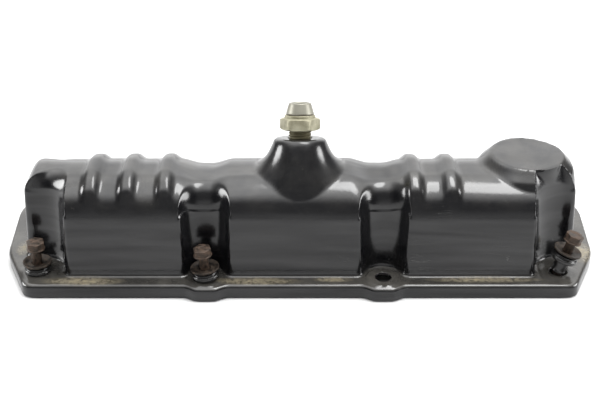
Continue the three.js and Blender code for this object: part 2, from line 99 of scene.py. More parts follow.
# ---------------------------------------------------------------- mesh helpers
def respace(points, count):
    """Points evenly spaced by length along each polyline of a (lines, points, axes) array.
    All lines are measured at once, each on its own stretch of one long ruler."""
    step = np.linalg.norm(np.diff(points, axis=1), axis=2)
    length = np.concatenate([np.zeros((len(points), 1)), np.cumsum(step, axis=1)], axis=1)
    length /= length[:, -1:]
    ruler = 2.0 * np.arange(len(points))[:, None]
    wanted = ruler + np.linspace(0, 1, count)[None, :]
    known = (ruler + length).ravel()
    axes = [np.interp(wanted, known, points[..., a].ravel()) for a in range(points.shape[2])]
    return np.stack(axes, axis=-1)


def smoothstep(t):
    """3 t squared minus 2 t cubed, held at 0 below 0 and at 1 above 1."""
    t = np.clip(t, 0, 1)
    return t * t * (3 - 2 * t)


def smooth_min(a, b, k):
    """The lower of two heights, less a quarter of k where they cross, fading out where they are k apart."""
    h = np.maximum(k - np.abs(a - b), 0) / k
    return np.minimum(a, b) - h * h * k / 4


def smooth_max(a, b, k):
    """The higher of two heights, blended in the same way."""
    return -smooth_min(-a, -b, k)


def grid_faces(rows, columns):
    """Quads between neighbouring rows of a grid whose rows are closed loops, numbered row by row."""
    row, column = np.meshgrid(np.arange(rows - 1), np.arange(columns), indexing="ij")
    a = row * columns + column
    b = row * columns + (column + 1) % columns
    return np.stack([a, b, b + columns, a + columns], axis=-1).reshape(-1, 4)


def mesh_object(name, points, faces, smooth_angle=35):
    """A mesh object from points in millimetres, with doubles merged and its sharp edges marked by angle."""
    mesh = bpy.data.meshes.new(name)
    flat = np.asarray(points, dtype=np.float64).reshape(-1, 3) * MM
    mesh.from_pydata(flat, [], faces.tolist())
    work = bmesh.new()
    work.from_mesh(mesh)
    bmesh.ops.remove_doubles(work, verts=work.verts, dist=2e-6)
    work.to_mesh(mesh)
    work.free()
    mesh.shade_smooth()
    mesh.set_sharp_from_angle(angle=math.radians(smooth_angle))
    piece = bpy.data.objects.new(name, mesh)
    bpy.context.scene.collection.objects.link(piece)
    return piece


def turned(name, profile, sides, shape=None, place=None, smooth_angle=35):
    """A closed profile of (radius, z) rows turned about Z: point = (r cos a, r sin a, z). shape(r, z, a) may
    change the radius round the turn, for a hexagon or a thread, and place is a matrix in millimetres."""
    profile = np.asarray(profile, dtype=float)
    angle = np.linspace(0, 2 * np.pi, sides, endpoint=False)
    radius, z = (np.repeat(profile[:, i : i + 1], sides, axis=1) for i in (0, 1))
    turn = np.repeat(angle[None, :], len(profile), axis=0)
    if shape:
        radius, z = shape(radius, z, turn)
    points = np.stack([radius * np.cos(turn), radius * np.sin(turn), z], axis=-1)
    if place is not None:
        matrix = np.array(place)
        points = points @ matrix[:3, :3].T + matrix[:3, 3]
    return mesh_object(name, points, grid_faces(len(profile), sides), smooth_angle)


def rounded_profile(corners, steps=5):
    """A closed (radius, z) outline from (radius, z, rounding) corners, each turned by a quadratic arc."""
    corners = np.asarray(corners, dtype=float)
    here = corners[:, :2]
    before, after = np.roll(here, 1, axis=0), np.roll(here, -1, axis=0)
    cut = corners[:, 2:3]

    def toward(other):
        way = other - here
        return here + way / np.linalg.norm(way, axis=1, keepdims=True) * cut

    t = np.linspace(0, 1, steps)[None, :, None]
    start, end = toward(before)[:, None], toward(after)[:, None]
    curve = (1 - t) ** 2 * start + 2 * t * (1 - t) * here[:, None] + t**2 * end
    points = curve.reshape(-1, 2)
    keep = np.concatenate([[True], np.linalg.norm(np.diff(points, axis=0), axis=1) > 1e-6])
    points = points[keep]
    return np.concatenate([points, points[:1]])


def hexagon(across, angle, corner=0.35):
    """Radius of a hexagon with slightly softened corners, at an angle round it."""
    turn = np.mod(angle, np.pi / 3) - np.pi / 6
    flat = across / 2 / np.cos(turn)
    return smooth_min(flat, np.full_like(flat, across / np.sqrt(3) - corner * 0.5), corner)


# ---------------------------------------------------------------- outlines in plan
def arc(centre, radius, start, end, count=24):
    """Points on a circle from one angle to another."""
    a = np.linspace(start, end, count)
    return np.stack([centre[0] + radius * np.cos(a), centre[1] + radius * np.sin(a)], axis=-1)


def angle_to(a, b):
    """The bearing of one point from another."""
    return math.atan2(b[1] - a[1], b[0] - a[0])


def notch(centre, radius, fillet, before, after, start, end):
    """A concave circle between two fillets: fillet arc, the circle run backwards, fillet arc."""
    into = angle_to(before, centre)
    leave, reach = angle_to(centre, before) % (2 * np.pi), angle_to(centre, after) % (2 * np.pi)
    out = angle_to(after, centre)
    return np.concatenate(
        [
            arc(before, fillet, start, into),
            arc(centre, radius, leave, reach, 60),
            arc(after, fillet, out, end),
        ]
    )


def long_wall(inset, count):
    """The front wall's outline from the left pole to the right one, with a niche round each middle bolt."""
    y = -(WALL_Y - inset)
    fillet, radius = FILLET - inset, MID_NICHE + inset
    reach = math.sqrt((radius + fillet) ** 2 - (-MID_Y - y - fillet) ** 2)
    pieces = [np.array([[-POLE_X, y]])]
    for x in MID_XS:
        before, after = (x - reach, y + fillet), (x + reach, y + fillet)
        pieces.append(notch((x, -MID_Y), radius, fillet, before, after, -np.pi / 2, -np.pi / 2))
    pieces.append(np.array([[POLE_X, y]]))
    return respace(np.concatenate(pieces)[None], count)[0]


def end_wall(inset, count):
    """The right end's outline from front to back, with a niche round each corner bolt."""
    y, x = -(WALL_Y - inset), END_X - inset
    fillet, radius = FILLET - inset, CORNER_NICHE + inset
    centre = (CORNER_X, -CORNER_Y)
    reach = radius + fillet
    before = (centre[0] - math.sqrt(reach**2 - (centre[1] - y - fillet) ** 2), y + fillet)
    after = (x - fillet, centre[1] + math.sqrt(reach**2 - (x - fillet - centre[0]) ** 2))
    start = np.array([[min(POLE_X, before[0] - 0.1), y]])
    corner = notch(centre, radius, fillet, before, after, -np.pi / 2, 0)
    half = respace(np.concatenate([start, corner, [[x, 0]]])[None], count // 2 + 1)[0]
    return np.concatenate([half, half[-2::-1] * [1, -1]])


def rim_end(inset):
    """The flange's outline round the right end, its corners turned by quadratic arcs, moved in by inset."""
    corners = np.array([(x, y) for x, y, _ in RIM], dtype=float)
    ends = np.array([[POLE_X - 20, -RIM_Y], [POLE_X - 20, RIM_Y]])
    ring = np.concatenate([ends[:1], corners, ends[1:]])
    pieces = [ends[:1]]
    t = np.linspace(0, 1, 24)[:, None]
    for i, (x, y, rounding) in enumerate(RIM):
        here = corners[i]
        back, ahead = ring[i] - here, ring[i + 2] - here
        start = here + back / np.linalg.norm(back) * rounding * 0.6
        end = here + ahead / np.linalg.norm(ahead) * rounding * 0.6
        pieces.append((1 - t) ** 2 * start + 2 * t * (1 - t) * here + t**2 * end)
    pieces.append(ends[1:])
    outline = respace(np.concatenate(pieces)[None], 900)[0]
    along = np.gradient(outline, axis=0)
    along /= np.linalg.norm(along, axis=1, keepdims=True)
    return outline + np.stack([-along[:, 1], along[:, 0]], axis=-1) * inset


def rim_y(x, inset):
    """The front rim's y: straight, with a bulge round each middle bolt."""
    nearest = np.min(np.abs(x[:, None] - np.array(MID_XS)), axis=1)
    return -(RIM_Y - inset + BULGE_DEPTH * smoothstep(1.5 * (1 - nearest / BULGE_HALF)))


def plan(inset, long_count, end_count):
    """The whole plan, counter-clockwise from the left pole's front: the dome's foot, the rim outside it, the
    spine point it runs to and its inward normal, each a (points, 2) array."""
    front = long_wall(inset, long_count)
    mirror_y, mirror_x = np.array([1, -1]), np.array([-1, 1])
    end = end_wall(inset, end_count)[1:-1]
    dense = rim_end(inset)
    pole = np.array([POLE_X, 0.0])
    bearing = np.arctan2(dense[:, 1], dense[:, 0] - POLE_X)
    wanted = np.arctan2(end[:, 1], end[:, 0] - POLE_X)
    rim_at_end = np.stack([np.interp(wanted, bearing, dense[:, a]) for a in (0, 1)], axis=-1)
    rim_front = np.stack([front[:, 0], rim_y(front[:, 0], inset)], axis=-1)
    spine_front = np.stack([front[:, 0], np.zeros(len(front))], axis=-1)
    spine_end = np.repeat(pole[None], len(end), axis=0)

    def all_round(side, tip):
        return np.concatenate([side, tip, (side * mirror_y)[::-1], (tip * mirror_x)[::-1]])

    foot = all_round(front, end)
    along = np.roll(foot, -1, axis=0) - np.roll(foot, 1, axis=0)
    along /= np.linalg.norm(along, axis=1, keepdims=True)
    inward = np.stack([-along[:, 1], along[:, 0]], axis=-1)
    return foot, all_round(rim_front, rim_at_end), all_round(spine_front, spine_end), inward


# ---------------------------------------------------------------- the dome's height
def wall_profile(distance, shoulder):
    """Height over the distance in from one wall: the drafted wall, the shoulder's arc, then the crown."""
    centre = shoulder / math.cos(DRAFT) + (CROWN - shoulder) * math.tan(DRAFT)
    swing = np.clip(centre - distance, 0, shoulder * math.cos(DRAFT))
    curved = CROWN - shoulder + np.sqrt(shoulder**2 - swing**2)
    return np.where(distance < centre - shoulder * math.cos(DRAFT), distance / math.tan(DRAFT), curved)


def sheet_waves(x, y):
    """A pressing is never quite flat: the sum of five sine waves, each a height, a run along x and along y,
    and a start. The slow ones are a quarter of a millimetre high, and the short ones a third of that."""
    slow = [(0.24, 31, 12, 0.4), (0.2, -17, 23, 1.9), (0.13, 9, -15, 3.1)]
    short = [(0.1, 47, 6.5, 5.2), (0.07, -6.5, 9, 0.9)]
    return sum(size * np.sin(x / a + y / b + start) for size, a, b, start in slow + short)


def crown_height(x, y, inset):
    """The crown above the flange: shoulders towards all four walls, minus the valleys, plus the ribs."""
    from_front = wall_profile(WALL_Y - inset + y, FRONT_SHOULDER)
    from_back = wall_profile(WALL_Y - inset - y, BACK_SHOULDER)
    side_drop = 2 * CROWN - from_front - from_back
    end_drop = CROWN - wall_profile(END_X - inset - np.abs(x), END_SHOULDER)
    height = CROWN - np.hypot(side_drop, end_drop)
    for front, middle, depth, half in VALLEYS:
        line = middle + (front - middle) * np.abs(y) / MID_Y
        height = height - depth * smoothstep(1.2 - np.abs(x - line) / half)
    for rib in RIB_XS:
        across = smoothstep((1 - np.abs(x - rib) / RIB_HALF) * 1.3)
        height = height + RIB_HEIGHT * across * smoothstep((RIB_END_Y - np.abs(y)) / 8)
    return height


def niche_drop(foot, distance, straight, inset):
    """How much the crown is rounded off at a distance from a niche's foot: a quarter circle as wide as the
    niche is deep there, up to NICHE_SHOULDER. It starts where the drafted wall has come up to it."""
    depth = np.minimum(WALL_Y - inset - np.abs(foot[..., 1]), END_X - inset - np.abs(foot[..., 0]))
    radius = np.clip(depth, 0, NICHE_SHOULDER)
    left = np.clip(radius + straight * (1 - radius / CROWN) - distance, 0, radius)
    return radius - np.sqrt(radius**2 - left**2)


def boss_side(from_rim):
    """The blank boss's height: its flat top, then a slope of one in one, and past its foot a further fall
    of 0.6 times the distance squared."""
    past_foot = np.maximum(0, from_rim - (BOSS_FOOT - BOSS_RADIUS))
    return np.minimum(BOSS_TOP, BOSS_TOP - from_rim - 0.6 * past_foot**2)


# ---------------------------------------------------------------- the breather tower
TOWER_AXIS = np.array([0, math.sin(TOWER_TILT), math.cos(TOWER_TILT)])
TOWER_FOOT_AT = np.array([0, TOWER_Y, FLANGE_TOP + CROWN])
TOWER_TOP_AT = TOWER_FOOT_AT + TOWER_AXIS * (TOWER_TOP - CROWN) / math.cos(TOWER_TILT)


def tower_profile():
    """Radius and rise (0 at the foot, 1 at the top face) of the tower from the foot inwards: a side that
    widens downwards evenly, and by the fourth power of the way down at its flare, a rounded edge, then the
    flat top."""
    edge, edge_lean, edge_rise = 2.6, 0.4, 0.14
    rise = np.linspace(0, 1 - edge_rise, 50)
    side = TOWER_RADIUS + TOWER_WAIST * (1 - rise) + TOWER_FLARE * (1 - rise) ** 4
    turn = np.linspace(0, np.pi / 2, 12)[1:]
    rounded = side[-1] - edge * (1 - np.cos(turn)) - edge_lean * np.sin(turn)
    rounded_rise = 1 - edge_rise + edge_rise * np.sin(turn)
    return np.concatenate(
        [np.stack([side, rise], axis=-1), np.stack([rounded, rounded_rise], axis=-1), [[0.0, 1.0]]]
    )


def raise_tower(points, inset):
    """Carries the crown's points round the tower's axis onto the tower. A point's share of the way in from
    the foot's circle picks a place along the tower's profile; that ring is turned back about X as it rises.
    At the foot it keeps what the crown falls away there, and less of it the higher it stands."""
    offset = points[..., :2] - TOWER_FOOT_AT[:2]
    foot = TOWER_FOOT - inset
    distance = np.hypot(offset[..., 0], offset[..., 1])
    inside = (distance < foot) & (points[..., 2] > FLANGE_TOP + 40)
    profile = tower_profile()
    length = (TOWER_TOP - CROWN) / math.cos(TOWER_TILT)
    run = np.hypot(np.diff(profile[:, 0]), np.diff(profile[:, 1]) * length)
    share = np.concatenate([[0], np.cumsum(run)])
    share /= share[-1]
    way_in = 1 - distance / foot
    radius = np.interp(way_in, share, profile[:, 0]) * (foot / TOWER_FOOT)
    rise = np.interp(way_in, share, profile[:, 1])
    tilt = TOWER_TILT * np.clip(rise * 1.3, 0, 1)
    safe = np.maximum(distance, 1e-9)
    across, back = offset[..., 0] / safe * radius, offset[..., 1] / safe * radius
    drop = (points[..., 2] - TOWER_FOOT_AT[2]) * (1 - rise) ** 2
    centre = TOWER_FOOT_AT + (TOWER_TOP_AT - TOWER_FOOT_AT) * rise[..., None]
    y = centre[..., 1] + back * np.cos(tilt)
    z = centre[..., 2] - back * np.sin(tilt) - inset * rise + drop
    return np.where(inside[..., None], np.stack([across, y, z], axis=-1), points)


# ---------------------------------------------------------------- the cover's skin
def pad_height(x, y):
    """The flange is pressed up in a round seat about each bolt hole, with a soft step at the seat's edge."""
    seat_radius, seat_step, seat_height = 11.5, 1.6, 0.7
    seats = [smoothstep((seat_radius - np.hypot(x - a, y - b)) / seat_step) for a, b in HOLES]
    return seat_height * np.max(seats, axis=0)


def at(plan_points, z):
    """Plan points with a height each, or one height for all."""
    z = np.broadcast_to(z, plan_points.shape[:2] + (1,))
    return np.concatenate([plan_points, z], axis=2)


def wall_and_crown(foot, spine, inward, inset, top, toe):
    """The lines from the fillet's end to the spine: up the drafted wall along the inward normal, then
    straight to the spine, at the lower of the wall's height and the crown's. Where the boss stands close to
    the wall, the wall leans in less, and the niche's rounding stops at the boss's rim."""
    steps, wall_share, least_lean, clear_of_crown = 420, 0.4, 1.2, 1e3
    from_disc = np.hypot(foot[..., :1] - BOSS_X, foot[..., 1:] - BOSS_Y) - BOSS_RADIUS
    lean = np.clip(from_disc / 2, least_lean, DRAFTED)
    s = np.linspace(0, 1, steps)[None, :, None]
    up, over = np.clip(s / wall_share, 0, 1), np.clip((s - wall_share) / (1 - wall_share), 0, 1)
    wall_top = foot + inward * lean
    path = np.where(s < wall_share, foot + inward * lean * up, wall_top * (1 - over) + spine * over)
    wall = np.where(s < wall_share, up * CROWN, clear_of_crown)[..., 0] + toe
    x, y = path[..., 0], path[..., 1]
    from_rim = np.hypot(x - BOSS_X, y - BOSS_Y) - BOSS_RADIUS + inset
    crown = smooth_max(crown_height(x, y, inset), boss_side(from_rim), 1.5)
    rounded_off = niche_drop(foot, np.linalg.norm(path - foot, axis=2), lean[..., 0], inset)
    crown = crown - np.minimum(rounded_off, 8 * np.maximum(0, from_rim))
    height = smooth_min(wall, crown + sheet_waves(x, y), 3.5)
    return at(path, (top + np.maximum(height, toe))[..., None])


def cover_skin(inset, flange_count, crown_count):
    """Rows of points from the skirt's lower edge up over the flange to the spine, for one face of the sheet.
    Every line runs: skirt, rounded rim, flange, fillet, wall and crown."""
    foot, rim, spine, inward = (a[:, None, :] for a in plan(inset, LONG_COUNT, END_COUNT))
    top = FLANGE_TOP - inset
    edge, toe = 2.4 - inset * 0.6, 2.2 + inset * 0.6
    rim_inward = (foot - rim) / np.linalg.norm(foot - rim, axis=2, keepdims=True)
    turn = np.linspace(0, np.pi / 2, 9)[None, :, None]
    skirt_z = np.linspace(SKIRT_BOTTOM, top - edge, 6)[None, :, None]
    skirt = at(np.repeat(rim, 6, axis=1), skirt_z)
    corner = at(rim + rim_inward * edge * (1 - np.cos(turn)), top - edge + edge * np.sin(turn))
    lower = respace(np.concatenate([skirt, corner], axis=1), 9)

    across = np.linspace(0, 1, 40)[None, 1:-1, None]
    flat = at(corner[:, -1:, :2] * (1 - across) + (foot - inward * toe) * across, top)
    fillet = at(foot - inward * toe * (1 - np.sin(turn)), top + toe * (1 - np.cos(turn)))
    flange = np.concatenate([flat, fillet], axis=1)
    below_wall = smoothstep((toe + 2 - (flange[..., 2] - top)) / toe)
    flange[..., 2] += pad_height(flange[..., 0], flange[..., 1]) * below_wall

    rise = wall_and_crown(foot, spine, inward, inset, top, toe)
    upper = raise_tower(respace(rise, crown_count), inset)
    return np.concatenate([lower, respace(flange, flange_count), upper[:, 1:]], axis=1).transpose(1, 0, 2)


def cover_shell():
    """The sheet's outer and inner faces as one closed grid from spine to spine by way of the skirt's edge,
    then bored for the bolts and the union."""
    outer = cover_skin(0, 14, 72)
    inner = cover_skin(SHEET, 9, 36)
    rows = np.concatenate([inner[::-1], outer])
    shell = mesh_object("cover_shell_fine", rows, grid_faces(len(rows), rows.shape[1]), 40)
    cutters = [cutter(x, y) for x, y in HOLES]
    bore = turned("bore_cutter", [(0, -8), (7.6, -8), (7.6, 6), (0, 6)], 48, place=tower_place())
    cutters.append(bore)
    for tool in cutters:
        cut = shell.modifiers.new("hole", "BOOLEAN")
        cut.operation, cut.object, cut.solver = "DIFFERENCE", tool, "EXACT"
    bake_modifiers(shell)
    for tool in cutters:
        bpy.data.objects.remove(tool)
    return shell


def cutter(x, y):
    """A cylinder that bores one bolt hole through the flange."""
    place = Matrix.Translation((x, y, FLANGE_TOP))
    return turned("hole_cutter", [(0, -5), (HOLE_RADIUS, -5), (HOLE_RADIUS, 3), (0, 3)], 40, place=place)


def bake_modifiers(piece):
    """Replaces a piece's mesh by what its modifiers make of it."""
    graph = bpy.context.evaluated_depsgraph_get()
    final = bpy.data.meshes.new_from_object(piece.evaluated_get(graph))
    piece.modifiers.clear()
    piece.data = final


def tower_place():
    """Places a piece made along Z on the tower's axis, from its top face up."""
    return Matrix.Translation(TOWER_TOP_AT) @ Matrix.Rotation(-TOWER_TILT, 4, "X")


# ---------------------------------------------------------------- materials
def linear(code):
    """An sRGB hex colour as linear red, green, blue and alpha."""
    parts = [int(code[i : i + 2], 16) / 255 for i in (0, 2, 4)]
    return [c / 12.92 if c <= 0.04045 else ((c + 0.055) / 1.055) ** 2.4 for c in parts] + [1.0]


def node(tree, kind, inputs=(), **settings):
    """Adds one node with its settings; each input is a value or the socket that feeds it."""
    made = tree.nodes.new(kind)
    for key, value in settings.items():
        setattr(made, key, value)
    for key, value in dict(inputs).items():
        if isinstance(value, bpy.types.NodeSocket):
            tree.links.new(value, made.inputs[key])
        else:
            made.inputs[key].default_value = value
    return made


def new_material(name):
    """A material with its tree, its shader and the Object coordinates in millimetres."""
    material = bpy.data.materials.new(name)
    material.use_nodes = True
    tree = material.node_tree
    coordinates = node(tree, "ShaderNodeTexCoord").outputs["Object"]
    place = node(
        tree, "ShaderNodeVectorMath", {0: coordinates, "Scale": 1 / MM}, operation="SCALE"
    ).outputs[0]
    return material, tree, tree.nodes["Principled BSDF"], place


# Where old gasket sealant and road dust have stayed on the flange: x, y, radius across x and y.
RESIDUE = [
    (-132, -46.5, 24, 4.5),
    (-27, -46.5, 26, 4.0),
    (20, -45, 12, 2.6),
    (112, -45, 34, 3.0),
    (178, -13, 10, 12),
    (-176, -8, 5, 9),
]


def dust_share(tree, place, drift):
    """How much dust lies on the enamel: a film in drifts, fine specks, and a thicker film on the flange."""
    specks = node(tree, "ShaderNodeTexNoise", {"Vector": place, "Scale": 0.9, "Detail": 3.0})
    normal = node(tree, "ShaderNodeNewGeometry").outputs["Normal"]
    up = node(tree, "ShaderNodeSeparateXYZ", {0: normal}).outputs["Z"]
    facing_up = node(tree, "ShaderNodeMapRange", {"Value": up, "From Min": 0.35, "From Max": 1.0}).outputs[0]
    patches = node(tree, "ShaderNodeMapRange", {"Value": drift, "From Min": 0.42, "From Max": 0.75})
    specked = node(
        tree,
        "ShaderNodeMapRange",
        {"Value": specks.outputs[0], "From Min": 0.62, "From Max": 0.74, "To Max": 0.035},
    )
    film = node(tree, "ShaderNodeMath", {0: patches.outputs[0], 1: facing_up}, operation="MULTIPLY")
    height = node(tree, "ShaderNodeSeparateXYZ", {0: place}).outputs["Z"]
    low = node(
        tree,
        "ShaderNodeMapRange",
        {"Value": height, "From Min": 10.0, "From Max": 13.0, "To Min": 0.075, "To Max": 0.0},
    )
    settled = node(tree, "ShaderNodeMath", {0: low.outputs[0], 1: facing_up}, operation="MULTIPLY")
    dust = node(
        tree,
        "ShaderNodeMath",
        {0: film.outputs[0], 1: 0.11, 2: specked.outputs[0]},
        operation="MULTIPLY_ADD",
    )
    return node(
        tree, "ShaderNodeMath", {0: dust.outputs[0], 1: settled.outputs[0]}, operation="ADD"
    ).outputs[0]


def residue_share(tree, place):
    """How much dried sealant lies on the flange: an oval spot at each place of RESIDUE, in crumbs."""
    residue = None
    for x, y, half_x, half_y in RESIDUE:
        centred = node(tree, "ShaderNodeVectorMath", {0: place, 1: (x, y, FLANGE_TOP)}, operation="SUBTRACT")
        shrink = (1 / half_x, 1 / half_y, 0.25)
        scaled = node(tree, "ShaderNodeVectorMath", {0: centred.outputs[0], 1: shrink}, operation="MULTIPLY")
        distance = node(
            tree, "ShaderNodeVectorMath", {0: scaled.outputs[0]}, operation="LENGTH"
        ).outputs["Value"]
        limits = {"From Min": 0.2, "From Max": 1.15, "To Min": 1.0, "To Max": 0.0}
        spot = node(tree, "ShaderNodeMapRange", {"Value": distance, **limits}).outputs[0]
        if residue is not None:
            spot = node(tree, "ShaderNodeMath", {0: residue, 1: spot}, operation="MAXIMUM").outputs[0]
        residue = spot
    crumbs = node(
        tree, "ShaderNodeTexNoise", {"Vector": place, "Scale": 0.35, "Detail": 9.0, "Roughness": 0.75}
    )
    broken = node(
        tree, "ShaderNodeMapRange", {"Value": crumbs.outputs[0], "From Min": 0.34, "From Max": 0.68}
    ).outputs[0]
    return node(tree, "ShaderNodeMath", {0: residue, 1: broken}, operation="MULTIPLY").outputs[0]


def scratch_share(tree, place):
    """How much a scratch shows: the thin zero lines of a noise stretched 30 to 1, kept in a few patches."""
    turned_place = node(
        tree, "ShaderNodeMapping", {0: place, "Rotation": (0, 0, 0.5), "Scale": (0.01, 0.3, 0.08)}
    ).outputs[0]
    streaks = node(tree, "ShaderNodeTexNoise", {"Vector": turned_place, "Scale": 2.2, "Detail": 2.0})
    centred = node(tree, "ShaderNodeMath", {0: streaks.outputs[0], 1: 0.5}, operation="SUBTRACT").outputs[0]
    level = node(tree, "ShaderNodeMath", {0: centred}, operation="ABSOLUTE").outputs[0]
    limits = {"From Min": 0.001, "From Max": 0.004, "To Min": 0.16, "To Max": 0.0}
    thin = node(tree, "ShaderNodeMapRange", {"Value": level, **limits}).outputs[0]
    patches = node(tree, "ShaderNodeTexNoise", {"Vector": place, "Scale": 0.021, "Detail": 1.0})
    where = node(
        tree, "ShaderNodeMapRange", {"Value": patches.outputs[0], "From Min": 0.6, "From Max": 0.68}
    ).outputs[0]
    return node(tree, "ShaderNodeMath", {0: thin, 1: where}, operation="MULTIPLY").outputs[0]


def stove_enamel():
    """Gloss black stove enamel sprayed on a steel pressing: deep black with a clear skin, a faint orange
    peel about 2 mm across, fine dust where it faces up, dried residue on the flange, a few scratches, and
    wiped streaks along its length that take some of the gloss."""
    material, tree, shader, place = new_material("black_stove_enamel")
    drift = node(
        tree, "ShaderNodeTexNoise", {"Vector": place, "Scale": 0.05, "Detail": 8.0, "Roughness": 0.65}
    ).outputs[0]
    residue = residue_share(tree, place)
    color = linear("0c0c0e")
    for share, covering in (
        (dust_share(tree, place, drift), "8f8b82"),
        (residue, "8a8068"),
        (scratch_share(tree, place), "9a9a96"),
    ):
        layer = node(tree, "ShaderNodeMix", {0: share, 6: color, 7: linear(covering)}, data_type="RGBA")
        color = layer.outputs[2]
    tree.links.new(color, shader.inputs["Base Color"])

    along = node(tree, "ShaderNodeMapping", {0: place, "Scale": (0.012, 0.03, 0.14)}).outputs[0]
    wiped = node(
        tree, "ShaderNodeTexNoise", {"Vector": along, "Scale": 1.0, "Detail": 4.0, "Distortion": 0.4}
    )
    gloss = node(
        tree,
        "ShaderNodeMapRange",
        {"Value": wiped.outputs[0], "From Min": 0.35, "From Max": 0.7, "To Min": 0.6, "To Max": 0.39},
    ).outputs[0]
    tree.links.new(gloss, shader.inputs["Specular IOR Level"])
    haze = node(tree, "ShaderNodeMapRange", {"Value": drift, "To Min": 0.1, "To Max": 0.24}).outputs[0]
    roughness = node(
        tree, "ShaderNodeMath", {0: residue, 1: 0.5, 2: haze}, operation="MULTIPLY_ADD"
    ).outputs[0]
    tree.links.new(roughness, shader.inputs["Roughness"])

    peel = node(tree, "ShaderNodeTexNoise", {"Vector": place, "Scale": 0.45, "Detail": 2.0}).outputs[0]
    peel_bump = node(
        tree, "ShaderNodeBump", {"Height": peel, "Strength": 0.05, "Distance": 0.0006}
    ).outputs[0]
    crust_bump = node(
        tree, "ShaderNodeBump", {"Height": residue, "Strength": 0.5, "Distance": 0.0003, "Normal": peel_bump}
    ).outputs[0]
    tree.links.new(crust_bump, shader.inputs["Normal"])
    shader.inputs["IOR"].default_value = 1.5
    return material


def rusty_steel(name, steel_low, steel_high, rust_low, rust_high):
    """Phosphated steel gone brown: thin rust in blotches 3 mm across over dark steel, fine pits, and a dull
    sheen on what is left of the metal. The washers have kept more of their dark coat than the bolts."""
    material, tree, shader, place = new_material(name)
    blotch = node(
        tree, "ShaderNodeTexNoise", {"Vector": place, "Scale": 0.33, "Detail": 7.0, "Roughness": 0.7}
    )
    grain = node(tree, "ShaderNodeTexNoise", {"Vector": place, "Scale": 1.6, "Detail": 4.0})
    rust_share = node(
        tree, "ShaderNodeMapRange", {"Value": blotch.outputs[0], "From Min": 0.4, "From Max": 0.62}
    ).outputs[0]
    steel = node(
        tree,
        "ShaderNodeMix",
        {0: grain.outputs[0], 6: linear(steel_low), 7: linear(steel_high)},
        data_type="RGBA",
    ).outputs[2]
    rust = node(
        tree,
        "ShaderNodeMix",
        {0: grain.outputs[0], 6: linear(rust_low), 7: linear(rust_high)},
        data_type="RGBA",
    ).outputs[2]
    color = node(tree, "ShaderNodeMix", {0: rust_share, 6: steel, 7: rust}, data_type="RGBA").outputs[2]
    tree.links.new(color, shader.inputs["Base Color"])
    metal = node(
        tree, "ShaderNodeMapRange", {"Value": rust_share, "To Min": 0.85, "To Max": 0.15}
    ).outputs[0]
    tree.links.new(metal, shader.inputs["Metallic"])
    rough = node(tree, "ShaderNodeMapRange", {"Value": rust_share, "To Min": 0.38, "To Max": 0.8}).outputs[0]
    tree.links.new(rough, shader.inputs["Roughness"])
    bump = node(
        tree, "ShaderNodeBump", {"Height": blotch.outputs[0], "Strength": 0.6, "Distance": 0.0003}
    ).outputs[0]
    tree.links.new(bump, shader.inputs["Normal"])
    return material


def oiled_rubber():
    """Moulded nitrile rubber, wet with oil: near black, with a tight gloss broken by a slow mottle."""
    material, tree, shader, place = new_material("oiled_nitrile_rubber")
    mottle = node(tree, "ShaderNodeTexNoise", {"Vector": place, "Scale": 0.3, "Detail": 5.0})
    color = node(
        tree,
        "ShaderNodeMix",
        {0: mottle.outputs[0], 6: linear("08080a"), 7: linear("1c1b1a")},
        data_type="RGBA",
    ).outputs[2]
    tree.links.new(color, shader.inputs["Base Color"])
    rough = node(
        tree, "ShaderNodeMapRange", {"Value": mottle.outputs[0], "To Min": 0.16, "To Max": 0.34}
    ).outputs[0]
    tree.links.new(rough, shader.inputs["Roughness"])
    bump = node(
        tree, "ShaderNodeBump", {"Height": mottle.outputs[0], "Strength": 0.06, "Distance": 0.0003}
    ).outputs[0]
    tree.links.new(bump, shader.inputs["Normal"])
    return material


def gasket_rubber():
    """Acrylic gasket rubber gone matt with heat: dark grey brown, powdery, in grains of half a millimetre."""
    material, tree, shader, place = new_material("acrylic_gasket_rubber")
    grain = node(tree, "ShaderNodeTexNoise", {"Vector": place, "Scale": 2.0, "Detail": 6.0})
    stain = node(tree, "ShaderNodeTexNoise", {"Vector": place, "Scale": 0.06, "Detail": 4.0})
    color = node(
        tree,
        "ShaderNodeMix",
        {0: stain.outputs[0], 6: linear("141312"), 7: linear("332e28")},
        data_type="RGBA",
    ).outputs[2]
    tree.links.new(color, shader.inputs["Base Color"])
    shader.inputs["Roughness"].default_value = 0.7
    bump = node(
        tree, "ShaderNodeBump", {"Height": grain.outputs[0], "Strength": 0.3, "Distance": 0.0002}
    ).outputs[0]
    tree.links.new(bump, shader.inputs["Normal"])
    return material


